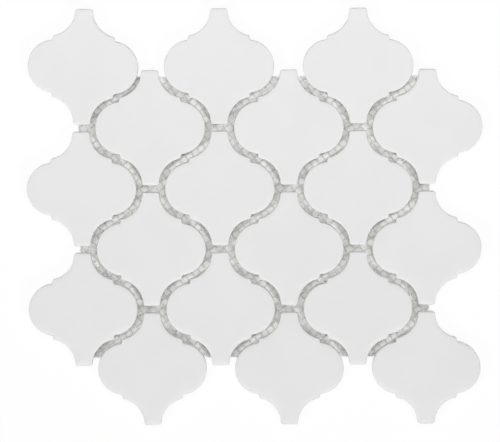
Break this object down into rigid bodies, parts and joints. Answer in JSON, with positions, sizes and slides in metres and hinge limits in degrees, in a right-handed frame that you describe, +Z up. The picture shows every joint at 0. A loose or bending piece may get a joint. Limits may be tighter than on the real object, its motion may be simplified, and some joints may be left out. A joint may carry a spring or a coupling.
{
  "type": "arabesque mosaic tile sheet",
  "caption": "Flat mosaic sheet of white lantern-shaped ceramic tiles, nested with open grout joints on a fibre mesh backing, bedded on walls or floors.",
  "frame": {"origin": "under the middle of the sheet, at the underside of the mesh it lies on", "axes": "+X along the rows of tiles, +Y to the top row, +Z up out of the glazed faces"},
  "size_m": [0.2722, 0.2509, 0.0065],
  "materials": {
    "white_glaze": "satin",
    "mesh_yarn": "matte"
  },
  "bodies": {
    "root": {"tile_row1_col1": "white_glaze", "tile_row1_col3": "white_glaze", "tile_row1_col5": "white_glaze", "tile_row2_col2": "white_glaze", "tile_row2_col4": "white_glaze", "tile_row2_col6": "white_glaze", "tile_row3_col1": "white_glaze", "tile_row3_col3": "white_glaze", "tile_row3_col5": "white_glaze", "tile_row4_col2": "white_glaze", "tile_row4_col4": "white_glaze", "tile_row4_col6": "white_glaze", "tile_row5_col1": "white_glaze", "tile_row5_col3": "white_glaze", "tile_row5_col5": "white_glaze", "tile_row6_col2": "white_glaze", "tile_row6_col4": "white_glaze", "tile_row6_col6": "white_glaze", "mesh_panel_row1_col1": "mesh_yarn", "mesh_panel_row1_col2": "mesh_yarn", "mesh_panel_row1_col3": "mesh_yarn", "mesh_panel_row1_col4": "mesh_yarn", "mesh_panel_row2_col1": "mesh_yarn", "mesh_panel_row2_col2": "mesh_yarn", "mesh_panel_row2_col3": "mesh_yarn", "mesh_panel_row2_col4": "mesh_yarn", "mesh_panel_row3_col1": "mesh_yarn", "mesh_panel_row3_col2": "mesh_yarn", "mesh_panel_row3_col3": "mesh_yarn", "mesh_panel_row3_col4": "mesh_yarn"}
  },
  "joints": []
}
